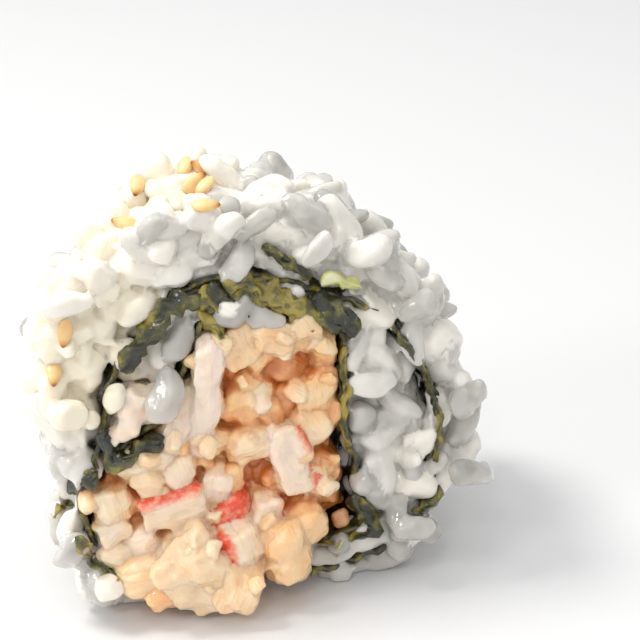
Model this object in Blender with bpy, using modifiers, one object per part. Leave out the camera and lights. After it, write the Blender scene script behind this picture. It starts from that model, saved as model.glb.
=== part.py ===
"""One slice of an inside-out crab roll, in metres, +Z up, standing on its flattened rice base.

The cut face looks along -Y and leans back, because the soft slice has slumped. A sheet of nori runs
through the slice as a spiral of two turns. The dressed crab fills the inner turn and has slumped out over
the face's lower edge. The rice follows the nori's outer side, as a coat and as a wedge between the turns,
and one strand of crab lies in the pocket where the inner turn starts. Each layer is a section drawn on the
cut face and carried through the slice, with the grains, chunks and seeds that show fused on.
"""

import math
import random

import bmesh
import bpy
from mathutils import Matrix, Vector, noise
from mathutils.bvhtree import BVHTree

# Sizes are real millimetres until a mesh is finished, which scales it to metres.
MM = 0.001

# The slice: each face's y is its foot plus its lean for each millimetre of height
FACE_FOOT = -15.0
FACE_LEAN = 0.14
BACK_FOOT = 10.5
BACK_LEAN = -0.05
BACK_NARROWER = 0.05
BACK_LOWER = 0.07
BACK_ASIDE = 1.8
FAR = 40.0
FLAT_ENOUGH = 0.06
WELD = 0.004

# Layers
NORI_THICK = 0.7
NORI_RAGGED = 0.9
GAP = 0.3
NORI_CLEAR = NORI_THICK / 2 + GAP
FACE_RELIEF = 1.2
COAT_RELIEF = 1.5
LINE_STEP = 2.8
POCKET_TOP = 26.6
POCKET_CORE = 0.85

# Pieces
GRAIN_LENGTH = 6.9
GRAIN_WIDTH = 3.6
GRAIN_BEND = 0.5
GRAIN_BLUNT = 0.28
GRAIN_TILT = 0.22
GRAIN_PROUD = 0.2
GRAIN_SPACING = 4.3
GRAIN_TRIES = 2500
FACE_GRAIN_SPACING = 3.7
FROM_EDGE = 0.6
FROM_FLOOR = 0.8
FROM_NORI = 1.4
SEED_SIZE = (3.3, 1.9, 1.1)
CHUNK_DEPTH = 5.4
CHUNK_ROUND = 0.6
CHUNK_UNEVEN = 0.3
CHUNK_TUMBLE = 0.28
CHUNK_SUNK = 1.6
CORE_INSET = 0.25
BACK_CHUNK_SPACING = 6.4
BACK_CHUNK_TRIES = 900
POCKET_CHUNK = (8.0, 5.0, 8.6)

# The nori's middle line on the cut face, as (x, z), from its inner end round to its outer end
NORI_LINE = [
    (-16.4, 19.4), (-12.0, 21.8), (-9.2, 23.9), (-8.0, 28.0), (-5.8, 32.8), (-2.4, 34.9), (1.6, 34.9),
    (6.0, 33.4), (9.8, 31.0), (9.8, 26.0), (9.6, 20.0), (11.0, 15.0), (10.8, 11.2), (12.2, 8.0),
    (9.6, 6.2), (2.0, 5.2), (-4.0, 3.4), (-11.0, 2.6), (-16.4, 5.2), (-19.2, 9.8), (-19.8, 14.0),
    (-18.2, 18.4), (-16.9, 23.4), (-15.6, 28.4), (-12.2, 32.2), (-8.4, 36.2), (-3.6, 38.1), (2.4, 37.4),
    (8.6, 34.9), (14.6, 31.6), (18.2, 26.6), (20.8, 20.4), (20.2, 14.2), (19.8, 9.0), (16.6, 4.6),
    (11.0, 2.6), (5.0, 2.1), (0.4, 2.2),
]
# The slice's outline on the cut face, over the tops of its grains, from its base round by the left
OUTLINE = [
    (-12.5, -3.0), (-18.2, 1.6), (-21.6, 6.8), (-22.7, 14.0), (-23.0, 23.0), (-23.6, 30.4), (-21.4, 36.8),
    (-16.2, 41.4), (-10.5, 44.4), (-3.0, 46.0), (5.5, 45.4), (12.6, 42.0), (18.6, 35.6), (23.2, 28.4),
    (24.6, 21.0), (24.6, 14.2), (22.8, 8.0), (19.0, 3.4), (13.0, -3.0),
]
# Mashed rice heaped at the top behind the face: centre and size
MOUNDS = [
    ((-10.4, 3.6, 43.4), (5.8, 6.0, 6.4)), ((-7.0, 4.2, 45.0), (6.4, 6.0, 5.8)),
    ((-3.4, 2.8, 45.4), (6.2, 6.0, 5.8)), ((-8.6, 0.4, 44.2), (5.8, 6.0, 5.6)),
    ((-12.0, -2.6, 42.0), (5.6, 6.0, 5.0)), ((-4.8, -0.6, 44.8), (5.4, 5.0, 5.0)),
]
# Sesame seeds: the angle about the slice's middle, the depth, and how far the seed is turned
SEEDS = [(100, 1.6, 20), (96, 2.4, 75), (98, -0.4, 140), (94, 0.6, 100), (113, 1.8, 80), (119, -5.4, 10),
         (100, -4.0, 35), (153, -7.0, 95), (165, -5.0, 60)]
MIDDLE = Vector((0.0, 0.0, 22.0))

# Crab chunks on the face: x, z, width, height and turn in degrees
FACE_CHUNKS = [
    (0.4, 30.2, 10.6, 4.4, 6), (7.0, 29.4, 4.0, 4.4, 0), (-5.6, 26.2, 4.2, 11.8, -8),
    (-8.8, 21.6, 3.8, 6.6, -32), (-12.8, 18.4, 6.0, 4.4, 12), (6.4, 22.4, 5.2, 7.4, 4),
    (0.0, 24.6, 5.6, 6.0, -20), (-1.4, 19.0, 5.4, 4.2, 16), (3.4, 16.4, 4.8, 9.0, 14),
    (-10.2, 12.8, 7.4, 4.6, 10), (-5.2, 14.6, 3.6, 4.6, -18), (-3.4, 10.6, 4.2, 3.4, 24),
    (0.6, 10.2, 3.8, 5.4, -10), (-16.4, 13.0, 4.6, 5.4, 8), (-15.4, 8.2, 5.8, 4.2, 16),
    (7.0, 13.6, 5.0, 6.8, -6), (4.2, 8.6, 4.6, 4.4, 20), (-6.0, 19.4, 3.8, 4.4, 38),
]
# Crab chunks that have slumped out: x, z, reach in front of the face, width and height
SPILL_CHUNKS = [
    (-7.8, 6.0, 4.6, 7.0, 8.6), (-3.5, 3.4, 5.6, 5.4, 5.6), (2.1, 5.8, 4.2, 5.4, 6.6),
    (-13.4, 5.4, 3.0, 5.6, 5.2), (-2.7, 8.4, 3.8, 5.4, 4.8),
]
SPILL_LEFT, SPILL_RIGHT, SPILL_TOP, SPILL_CLEAR_OF_FLOOR = -18.0, 7.0, 9.0, 0.3

RICE = ("sticky_rice", (0.84, 0.86, 0.84), 0.35)
NORI = ("wet_nori", (0.04, 0.055, 0.02), 0.4)
CRAB = ("dressed_crab", (0.87, 0.62, 0.42), 0.4)


def clear_scene():
    for old in list(bpy.data.objects):
        bpy.data.objects.remove(old, do_unlink=True)


def new_collection(name):
    made = bpy.data.collections.new(name)
    bpy.context.scene.collection.children.link(made)
    return made


def face_y(z):
    return FACE_FOOT + FACE_LEAN * z


def back_y(z):
    return BACK_FOOT + BACK_LEAN * z


def far_front(z):
    return -FAR


def far_back(z):
    return FAR


def behind_relief(z):
    return face_y(z) + FACE_RELIEF


def before_relief(z):
    return back_y(z) - FACE_RELIEF


def before_face(z):
    return face_y(z) - GAP


def smooth_line(points, closed=False):
    """Points about a step apart on a Catmull-Rom curve through the given ones."""
    knots = [Vector(p) for p in points]
    last = len(knots) - 1
    line = []
    for i in range(len(knots) if closed else last):
        if closed:
            a, b, c, d = (knots[(i + k) % len(knots)] for k in (-1, 0, 1, 2))
        else:
            a, b, c, d = (knots[min(max(i + k, 0), last)] for k in (-1, 0, 1, 2))
        pieces = max(1, round((c - b).length / LINE_STEP))
        for t in (k / pieces for k in range(pieces)):
            line.append(0.5 * (2 * b + (c - a) * t + (2 * a - 5 * b + 4 * c - d) * t**2
                               + (3 * b - a - 3 * c + d) * t**3))
    return line if closed else line + [knots[-1]]


def offset_line(line, distance, closed=False):
    """The line moved to its left, which is outwards here, because all lines run clockwise."""
    count = len(line)
    moved = []
    for i, point in enumerate(line):
        before = line[i - 1] if closed or i else point
        after = line[(i + 1) % count] if closed or i < count - 1 else point
        along = (after - before).normalized()
        moved.append(point + distance * Vector((-along.y, along.x)))
    return moved


def ribbon_loop(line, half):
    """The outline of a band of a half width along an open line, longer than it by the gap at each end."""
    first = line[0] + (line[0] - line[1]).normalized() * GAP
    final = line[-1] + (line[-1] - line[-2]).normalized() * GAP
    longer = [first] + line[1:-1] + [final]
    return offset_line(longer, half) + offset_line(longer, -half)[::-1]


def inside(loop, point):
    """Whether a point lies in a loop, by counting the sides that a ray to the right crosses."""
    found = False
    for a, b in zip(loop, loop[1:] + loop[:1]):
        if (a.y > point.y) != (b.y > point.y):
            if point.x < a.x + (point.y - a.y) / (b.y - a.y) * (b.x - a.x):
                found = not found
    return found


def new_object(name, mesh, home):
    made = bpy.data.objects.new(name, mesh)
    home.objects.link(made)
    return made


def finished(name, bm, home):
    """An object in metres from a bmesh in millimetres."""
    bm.transform(Matrix.Scale(MM, 4))
    bm.normal_update()
    bmesh.ops.recalc_face_normals(bm, faces=bm.faces[:])
    mesh = bpy.data.meshes.new(name)
    bm.to_mesh(mesh)
    bm.free()
    return new_object(name, mesh, home)


def section(line, closed):
    """A line drawn on the cut face as a curve, extruded one unit deep and read back as a bmesh."""
    drawn = bpy.data.curves.new("section", "CURVE")
    drawn.dimensions = "2D"
    drawn.fill_mode = "BOTH" if closed else "NONE"
    drawn.extrude = 0.5
    spline = drawn.splines.new("POLY")
    spline.points.add(len(line) - 1)
    for point, place in zip(spline.points, line):
        point.co = (place.x, place.y, 0.0, 1.0)
    spline.use_cyclic_u = closed
    guide = new_object("section", drawn, bpy.context.scene.collection)
    graph = bpy.context.evaluated_depsgraph_get()
    graph.update()
    mesh = bpy.data.meshes.new_from_object(guide.evaluated_get(graph))
    bm = bmesh.new()
    bm.from_mesh(mesh)
    bmesh.ops.remove_doubles(bm, verts=bm.verts[:], dist=0.01)
    bpy.data.objects.remove(guide, do_unlink=True)
    bpy.data.curves.remove(drawn)
    bpy.data.meshes.remove(mesh)
    return bm


def carry_through(bm, front, back):
    """Stands a section up in the slice and stretches its depth from one face to the other."""
    for v in bm.verts:
        x, z, depth = v.co.x, v.co.y, v.co.z + 0.5
        v.co = Vector((x, front(z) + (back(z) - front(z)) * depth, z))


def prism(name, loop, home, front, back):
    bm = section(loop, True)
    carry_through(bm, front, back)
    return finished(name, bm, home)


def cutter(name, loop, home, front=far_front, back=far_back):
    """A prism that only cuts, and that isn't part of the slice."""
    made = prism(name, loop, home, front, back)
    made.hide_render = True
    made.display_type = "WIRE"
    return made


def rectangle(left, right, low, high):
    return [Vector((left, low)), Vector((left, high)), Vector((right, high)), Vector((right, low))]


def finish_with(made, name, colour, roughness):
    """Gives an object a material with its colour and roughness."""
    finish = bpy.data.materials.get(name)
    if finish is None:
        finish = bpy.data.materials.new(name)
        finish.use_nodes = True
        shader = finish.node_tree.nodes["Principled BSDF"]
        shader.inputs["Base Color"].default_value = (*colour, 1.0)
        shader.inputs["Roughness"].default_value = roughness
        shader.inputs["Metallic"].default_value = 0.0
    made.data.materials.clear()
    made.data.materials.append(finish)


def keep_largest_shell(bm):
    """Fills sealed hollows and drops loose scraps, by leaving only the shell with the most points."""
    unseen = set(bm.verts)
    shells = []
    while unseen:
        todo = [unseen.pop()]
        shell = set(todo)
        while todo:
            for edge in todo.pop().link_edges:
                fresh = [v for v in edge.verts if v in unseen]
                unseen.difference_update(fresh)
                shell.update(fresh)
                todo.extend(fresh)
        shells.append(shell)
    shells.sort(key=len)
    for shell in shells[:-1]:
        bmesh.ops.delete(bm, geom=list(shell), context="VERTS")


def close_pinches(bm):
    """Welds points that all but meet, and shrinks to a point each edge that more than two faces share."""
    bmesh.ops.remove_doubles(bm, verts=bm.verts[:], dist=WELD * MM)
    pinched = [e for e in bm.edges if len(e.link_faces) > 2]
    while pinched:
        bmesh.ops.collapse(bm, edges=pinched)
        pinched = [e for e in bm.edges if len(e.link_faces) > 2]
    bare = [v for v in bm.verts if not v.link_faces]
    bmesh.ops.delete(bm, geom=bare, context="VERTS")


def add_cut(core, operation, other):
    cut = core.modifiers.new(operation.lower(), "BOOLEAN")
    cut.operation = operation
    cut.solver = "MANIFOLD"
    if isinstance(other, bpy.types.Collection):
        cut.operand_type = "COLLECTION"
        cut.collection = other
    else:
        cut.object = other


def fuse(core, pieces, cuts=()):
    """Joins a collection's pieces to the core, makes the cuts and leaves one closed body."""
    add_cut(core, "UNION", pieces)
    for operation, other in cuts:
        add_cut(core, operation, other)
    graph = bpy.context.evaluated_depsgraph_get()
    graph.update()
    bm = bmesh.new()
    bm.from_object(core, graph)
    bmesh.ops.dissolve_limit(bm, angle_limit=FLAT_ENOUGH, verts=bm.verts[:], edges=bm.edges[:])
    bmesh.ops.triangulate(bm, faces=bm.faces[:])
    close_pinches(bm)
    keep_largest_shell(bm)
    core.modifiers.clear()
    bm.to_mesh(core.data)
    bm.free()
    for used in list(pieces.objects):
        bpy.data.objects.remove(used, do_unlink=True)
    bpy.data.collections.remove(pieces)


def frame_of(out, turn):
    """The turn of a piece that lies on a surface: its z along out, its x turned about it by an angle."""
    up = out.normalized()
    side = up.cross(Vector((0.31, 0.85, 0.42))).normalized()
    return Matrix.Rotation(turn, 3, up) @ Matrix((side, up.cross(side), up)).transposed()


def place(name, bm, centre, turn, home):
    bm.transform(Matrix.Translation(centre) @ turn.to_4x4())
    return finished(name, bm, home)


def add_grain(rng, centre, out, home):
    """A cooked grain: a plump spindle, a little bent, lying on the surface that faces out."""
    half_length = GRAIN_LENGTH / 2 * rng.uniform(0.86, 1.12)
    half_width = GRAIN_WIDTH / 2 * rng.uniform(0.9, 1.12)
    bend = rng.uniform(-GRAIN_BEND, GRAIN_BEND)
    bm = bmesh.new()
    bmesh.ops.create_uvsphere(bm, u_segments=5, v_segments=4, radius=1)
    for v in bm.verts:
        along, across, up = v.co.z, v.co.x, v.co.y
        blunt = along * (1 + GRAIN_BLUNT * (1 - along**2))
        v.co = Vector((blunt * half_length, across * half_width + bend * along**2, up * half_width))
    turn = frame_of(out, rng.uniform(0, math.pi)) @ Matrix.Rotation(rng.gauss(0, GRAIN_TILT), 3, "Y")
    place("grain", bm, centre, turn, home)


def add_chunk(rng, centre, size, degrees, home):
    """A torn lump of crab: a box with rounded corners and uneven sides, turned to the viewer by degrees."""
    shift = Vector((rng.uniform(0, 50), rng.uniform(0, 50), rng.uniform(0, 50)))
    bm = bmesh.new()
    bmesh.ops.create_cube(bm, size=1)
    bmesh.ops.subdivide_edges(bm, edges=bm.edges[:], cuts=1, use_grid_fill=True)
    for v in bm.verts:
        rounded = v.co.lerp(v.co.normalized() * 0.6, CHUNK_ROUND)
        uneven = 1 + CHUNK_UNEVEN * noise.noise(v.co * 1.7 + shift)
        v.co = Vector(a * b * uneven for a, b in zip(rounded, size))
    turn = Matrix.Rotation(math.radians(degrees), 3, "Y")
    for axis in "XZ":
        turn = turn @ Matrix.Rotation(rng.gauss(0, CHUNK_TUMBLE), 3, axis)
    place("chunk", bm, centre, turn, home)


def add_seed(rice, angle, depth, turn, home):
    """A sesame seed where a line from outside to the slice's middle meets the rice."""
    way = Vector((math.cos(math.radians(angle)), 0.0, math.sin(math.radians(angle))))
    middle = Vector((MIDDLE.x, depth, MIDDLE.z))
    hit, out = rice.ray_cast((middle + way * FAR) * MM, -way)[:2]
    bm = bmesh.new()
    bmesh.ops.create_uvsphere(bm, u_segments=6, v_segments=4, radius=0.5)
    for v in bm.verts:
        taper = 1 - 0.5 * v.co.z
        v.co = Vector((v.co.z * SEED_SIZE[0], v.co.x * SEED_SIZE[1] * taper, v.co.y * SEED_SIZE[2]))
    place("seed", bm, hit / MM, frame_of(out, math.radians(turn)), home)


def spread(rng, pick, tries, spacing):
    """Random places that stay a spacing apart, from a function that picks one or None."""
    kept = []
    for _ in range(tries):
        spot = pick(rng)
        if spot and all((spot[0] - other[0]).length > spacing for other in kept):
            kept.append(spot)
    return kept


def skin_spot(rng, loop):
    """A place on the coat's outside, off its base."""
    i = rng.randrange(len(loop))
    a, b = loop[i - 1], loop[i]
    p = a.lerp(b, rng.random())
    if p.y < FROM_FLOOR:
        return None
    front, back = behind_relief(p.y), before_relief(p.y)
    along = (b - a).normalized()
    return Vector((p.x, rng.uniform(front + FROM_EDGE, back - FROM_EDGE), p.y)), Vector((-along.y, 0, along.x))


def face_spot(rng, allowed, front):
    """A place on a cut face where the section allows one, on its front or its back."""
    p = Vector((rng.uniform(-25, 25), rng.uniform(1.5, 45)))
    if not allowed(p):
        return None
    if front:
        return Vector((p.x, behind_relief(p.y), p.y)), Vector((0, -1, FACE_LEAN))
    return Vector((p.x, before_relief(p.y), p.y)), Vector((0, 1, 0))


def make_sections():
    """The nori's line, the coat's core and the loops that the nori closes round its fillings."""
    nori = smooth_line(NORI_LINE)
    half = len(nori) // 2
    meets = min(range(half, len(nori)), key=lambda i: (nori[i] - nori[0]).length)
    filling = nori[:meets + 1]
    outer_side = [p for p in nori[meets:half + meets // 2] if p.y < POCKET_TOP and p.x < -10]
    inner_side = [p for p in nori[:meets // 2] if p.y < POCKET_TOP and p.x < -6]
    top = [Vector((outer_side[-1].x, POCKET_TOP)), Vector((inner_side[-1].x, POCKET_TOP))]
    pocket = outer_side + top + inner_side[::-1]
    coat = offset_line(smooth_line(OUTLINE, True), -COAT_RELIEF, True)
    return nori, coat, filling, pocket


def make_rice(rng, home, cutters, nori, coat, filling, pocket):
    """The rice, one spiral layer: grains fused on a core, then cut clear of the nori and the crab."""
    core = prism("rice", coat, home, behind_relief, before_relief)
    grains = new_collection("grains")

    def on_face(p):
        return (inside(coat, p) and not inside(filling, p) and not inside(pocket, p)
                and min((p - q).length for q in nori) > FROM_NORI)

    def on_front(p):
        spilled = SPILL_LEFT < p.x < SPILL_RIGHT and p.y < SPILL_TOP
        return on_face(p) and not spilled

    spots = spread(rng, lambda r: skin_spot(r, coat), GRAIN_TRIES, GRAIN_SPACING)
    spots += spread(rng, lambda r: face_spot(r, on_front, True), GRAIN_TRIES, FACE_GRAIN_SPACING)
    spots += spread(rng, lambda r: face_spot(r, on_face, False), GRAIN_TRIES, GRAIN_SPACING)
    for centre, out in spots:
        add_grain(rng, centre + out * GRAIN_PROUD, out, grains)
    for centre, size in MOUNDS:
        add_chunk(rng, Vector(centre), size, 0, grains)
    raised = [Vector((p.x, p.y + (GAP if p.y == POCKET_TOP else 0))) for p in pocket]
    spill = rectangle(SPILL_LEFT, SPILL_RIGHT, -FAR, SPILL_TOP)
    fuse(core, grains, [
        ("DIFFERENCE", cutter("nori_room", ribbon_loop(nori, NORI_CLEAR), cutters)),
        ("DIFFERENCE", cutter("filling_room", filling, cutters)),
        ("DIFFERENCE", cutter("pocket_room", raised, cutters)),
        ("DIFFERENCE", cutter("spill_room", spill, cutters, far_front, face_y)),
        ("DIFFERENCE", cutter("floor", rectangle(-FAR, FAR, -FAR, 0), cutters)),
    ])
    seeds = new_collection("seeds")
    surface = BVHTree.FromObject(core, bpy.context.evaluated_depsgraph_get())
    for angle, depth, turn in SEEDS:
        add_seed(surface, angle, depth, turn, seeds)
    fuse(core, seeds)
    finish_with(core, *RICE)
    return core


def make_filling(rng, home, cutters, filling):
    """The dressed crab: chunks fused on a core, kept in the inner turn but for what has slumped out."""
    loop = offset_line(filling, -NORI_CLEAR, True)
    core = prism("crab_filling", offset_line(loop, -CORE_INSET, True), home, behind_relief, before_relief)
    chunks = new_collection("chunks")
    for x, z, width, height, degrees in FACE_CHUNKS:
        centre = Vector((x, behind_relief(z) + CORE_INSET, z))
        add_chunk(rng, centre, (width, CHUNK_DEPTH, height), degrees, chunks)
    for x, z, reach, width, height in SPILL_CHUNKS:
        front, back = face_y(z) - reach, behind_relief(z) + CHUNK_SUNK
        centre = Vector((x, (front + back) / 2, z))
        add_chunk(rng, centre, (width, back - front, height), 0, chunks)
    behind = spread(rng, lambda r: face_spot(r, lambda p: inside(loop, p), False),
                    BACK_CHUNK_TRIES, BACK_CHUNK_SPACING)
    for centre, _ in behind:
        size = (rng.uniform(5.5, 8.5), CHUNK_DEPTH - 2, rng.uniform(5.0, 7.0))
        add_chunk(rng, centre, size, rng.uniform(0, 180), chunks)
    room = cutter("crab_room", loop, cutters)
    front = rectangle(SPILL_LEFT, SPILL_RIGHT, SPILL_CLEAR_OF_FLOOR, SPILL_TOP + 2)
    add_cut(room, "UNION", cutter("spill_front", front, cutters, far_front, before_face))
    fuse(core, chunks, [("INTERSECT", room)])
    finish_with(core, *CRAB)
    return core


def make_pocket(rng, home, cutters, pocket):
    """The strand of crab between the nori's two turns at the left."""
    middle = sum(pocket, Vector((0, 0))) / len(pocket)
    smaller = [middle.lerp(p, POCKET_CORE) for p in pocket]
    core = prism("crab_pocket", smaller, home, behind_relief, before_relief)
    pieces = new_collection("strands")
    for y in (behind_relief(middle.y), 0.0, before_relief(middle.y)):
        add_chunk(rng, Vector((middle.x, y, middle.y)), POCKET_CHUNK, 0, pieces)
    fuse(core, pieces, [
        ("DIFFERENCE", cutters.objects["nori_room"]),
        ("INTERSECT", cutter("pocket_inside", pocket, cutters)),
    ])
    finish_with(core, *CRAB)
    return core


def make_nori(home, nori):
    """The sheet of nori: a strip carried through the slice, ragged at the cuts, with a wall's thickness."""
    bm = section(nori, False)
    across = [e for e in bm.edges if abs(e.verts[0].co.z - e.verts[1].co.z) > 0.5]
    bmesh.ops.subdivide_edges(bm, edges=across, cuts=2, use_grid_fill=True)
    for v in bm.verts:
        at_cut = max(0.0, abs(v.co.z) * 6 - 2)
        ragged = NORI_RAGGED * abs(noise.noise(Vector((v.co.x * 0.7, v.co.y * 0.7, v.co.z * 9))))
        v.co.z *= 1 - 2 * at_cut * ragged / (BACK_FOOT - FACE_FOOT)
    carry_through(bm, face_y, back_y)
    sheet = finished("nori", bm, home)
    wall = sheet.modifiers.new("wall", "SOLIDIFY")
    wall.thickness = NORI_THICK * MM
    wall.offset = 0.0
    finish_with(sheet, *NORI)
    return sheet


def slump(made):
    """Narrows, lowers and leans an object evenly towards the slice's back, where the soft roll has sunk."""
    for v in made.data.vertices:
        z = v.co.z / MM
        depth = (v.co.y / MM - face_y(z)) / (back_y(z) - face_y(z))
        v.co.x = v.co.x * (1 - BACK_NARROWER * depth) + BACK_ASIDE * depth * MM
        v.co.z *= 1 - BACK_LOWER * depth


def main():
    clear_scene()
    home = new_collection("crab_roll_slice")
    cutters = new_collection("cutters")
    rng = random.Random(8)
    nori, coat, filling, pocket = make_sections()
    layers = [
        make_rice(rng, home, cutters, nori, coat, filling, pocket),
        make_filling(rng, home, cutters, filling),
        make_pocket(rng, home, cutters, pocket),
        make_nori(home, nori),
    ]
    for layer in layers:
        slump(layer)
    for used in list(cutters.objects):
        bpy.data.objects.remove(used, do_unlink=True)
    bpy.data.collections.remove(cutters)


main()
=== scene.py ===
# %% [markdown]
# # A slice of crab roll
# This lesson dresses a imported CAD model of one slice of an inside-out roll. The real slice is cooked
# rice outside, a spiral of wet nori, and chopped crab in a creamy dressing that spills at its foot.
# The frame's four solids give every place and size. The looks are new meshes over their own cores.

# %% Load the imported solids
import math
import random

import bmesh
import bpy
from mathutils import Matrix, Vector, noise
from mathutils.bvhtree import BVHTree


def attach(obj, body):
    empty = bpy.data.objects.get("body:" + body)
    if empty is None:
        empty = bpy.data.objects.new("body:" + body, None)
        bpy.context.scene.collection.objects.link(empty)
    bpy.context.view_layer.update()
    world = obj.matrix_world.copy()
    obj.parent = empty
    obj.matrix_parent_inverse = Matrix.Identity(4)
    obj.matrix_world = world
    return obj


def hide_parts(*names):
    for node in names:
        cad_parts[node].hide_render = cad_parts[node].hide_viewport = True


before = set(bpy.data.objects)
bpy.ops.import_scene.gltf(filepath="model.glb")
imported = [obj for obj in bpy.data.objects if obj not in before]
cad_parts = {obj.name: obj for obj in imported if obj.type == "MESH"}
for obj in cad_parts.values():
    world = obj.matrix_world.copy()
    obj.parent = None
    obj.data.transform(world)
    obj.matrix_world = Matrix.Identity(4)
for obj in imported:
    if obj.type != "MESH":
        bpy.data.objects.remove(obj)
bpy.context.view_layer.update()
MM = 0.001
print("solids:", ", ".join(sorted(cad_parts)))

# %% [markdown]
# ## Camera
# The picture looks down on the cut face and the slice's left side from about a hand's length away.
# Its eye and aim are in metres. The focal length is in pixels of a 640 pixel square, so that a place
# seen at a pixel can be turned into a line in space and followed to the solids.

# %% Camera
PICTURE = 640
FOCAL = 1806
EYE = Vector((-0.03503, -0.18074, 0.12174))
AIM = Vector((0.01024, 0.00081, 0.02640))

camera = bpy.data.objects.new("camera", bpy.data.cameras.new("camera"))
bpy.context.scene.collection.objects.link(camera)
camera.location = EYE
camera.rotation_euler = (AIM - EYE).to_track_quat("-Z", "Y").to_euler()
camera.data.angle = 2 * math.atan(PICTURE / 2 / FOCAL)
camera.data.clip_start = 0.01
bpy.context.scene.camera = camera

FORWARD = (AIM - EYE).normalized()
RIGHT = FORWARD.cross(Vector((0, 0, 1))).normalized()
UP = RIGHT.cross(FORWARD)


def sight(px, py):
    """The direction from the eye through a pixel of the picture."""
    return (FORWARD * FOCAL + RIGHT * (px - PICTURE / 2) - UP * (py - PICTURE / 2)).normalized()


print(f"field of view {math.degrees(camera.data.angle):.1f} degrees")

# %% [markdown]
# ## Floor and light
# The slice stands on a plain pale floor in a bright room. The strongest lamp, behind it on the left,
# is the window: it gives the grains their rim and the soft shadow on the right. Two smaller ones, at
# the side and in front, give the wet glints. A wide ceiling and a wide fill open up the top and the cut
# face, and the white world keeps the shadows light, as white walls do.

# %% Floor and light
scene = bpy.context.scene
scene.view_settings.view_transform = "Standard"
scene.view_settings.exposure = 0.0


def linear(code):
    """A colour's sRGB hex value as the linear numbers that shaders take."""
    parts = [int(code[i:i + 2], 16) / 255 for i in (1, 3, 5)]
    return tuple(c / 12.92 if c <= 0.04045 else ((c + 0.055) / 1.055) ** 2.4 for c in parts) + (1.0,)


def add_lamp(name, place, aim, size, watts, code):
    lamp = bpy.data.lights.new(name, "AREA")
    lamp.shape = "DISK"
    lamp.size = size
    lamp.energy = watts
    lamp.color = linear(code)[:3]
    made = bpy.data.objects.new(name, lamp)
    made.location = place
    made.rotation_euler = (Vector(aim) - Vector(place)).to_track_quat("-Z", "Y").to_euler()
    scene.collection.objects.link(made)


CENTRE = (0.0, -0.002, 0.022)
add_lamp("window", (-0.24, 0.10, 0.46), CENTRE, 0.15, 1.6, "#FFFDFA")
add_lamp("side_window", (-0.40, -0.16, 0.30), CENTRE, 0.13, 0.5, "#FFFFFF")
add_lamp("glint", (-0.16, -0.34, 0.42), CENTRE, 0.04, 0.2, "#FFFFFF")
add_lamp("ceiling", (0.06, 0.0, 0.60), CENTRE, 0.70, 1.0, "#FFFFFF")
add_lamp("fill", (-0.05, -0.55, 0.30), CENTRE, 0.50, 0.3, "#FFFFFF")

world = bpy.data.worlds.new("white_room")
world.use_nodes = True
world.node_tree.nodes["Background"].inputs["Color"].default_value = linear("#FAFBFC")
world.node_tree.nodes["Background"].inputs["Strength"].default_value = 0.62
scene.world = world

# %% [markdown]
# ## Materials
# One helper adds a shader node, sets its sockets and joins it to others. Every recipe below starts
# from what the real stuff is.

# %% Node helper


def new_material(name):
    """A material and its shader."""
    made = bpy.data.materials.new(name)
    made.use_nodes = True
    return made, made.node_tree.nodes["Principled BSDF"]


def add(material, kind, settings=None, values=None, links=None):
    """A node of a kind, with its settings, its sockets' values and the outputs that feed its sockets."""
    node = material.node_tree.nodes.new(kind)
    for name, value in (settings or {}).items():
        setattr(node, name, value)
    for name, value in (values or {}).items():
        node.inputs[name].default_value = value
    for name, source in (links or {}).items():
        material.node_tree.links.new(source, node.inputs[name])
    return node


def feed(material, shader, links):
    for name, source in links.items():
        material.node_tree.links.new(source, shader.inputs[name])


def set_values(shader, values):
    for name, value in values.items():
        shader.inputs[name].default_value = value


def set_stops(ramp, stops):
    """Sets a colour ramp's stops, each its place from 0 to 1 and its colour."""
    points = ramp.color_ramp.elements
    while len(points) < len(stops):
        points.new(0.5)
    for point, (place, code) in zip(points, stops):
        point.position = place
        point.color = linear(code)


# %% [markdown]
# ### Steamed short-grain rice
# Cooked rice is swollen starch gel: it has no hard surface colour, light goes a millimetre or so in
# and comes out again, greyish where the grain is clear and creamy where it is mashed. So the shader is
# mostly subsurface, and the clearer a grain's tone, the more light passes through it. A film of starch
# and water gives small sharp glints: a thin wet coat with its own fine grit, stronger on frosted grains.

# %% Rice material
# Sizes and heights of the pattern in millimetres
CLOUD_SIZE = 5.0
WAVE_SIZE, WAVE_RELIEF = 1.3, 0.16
GRIT_SIZE, GRIT_RELIEF = 0.5, 0.05


def per_mm(size):
    """The scale of a texture whose features are about this many millimetres."""
    return 1 / (size * MM)


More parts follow.
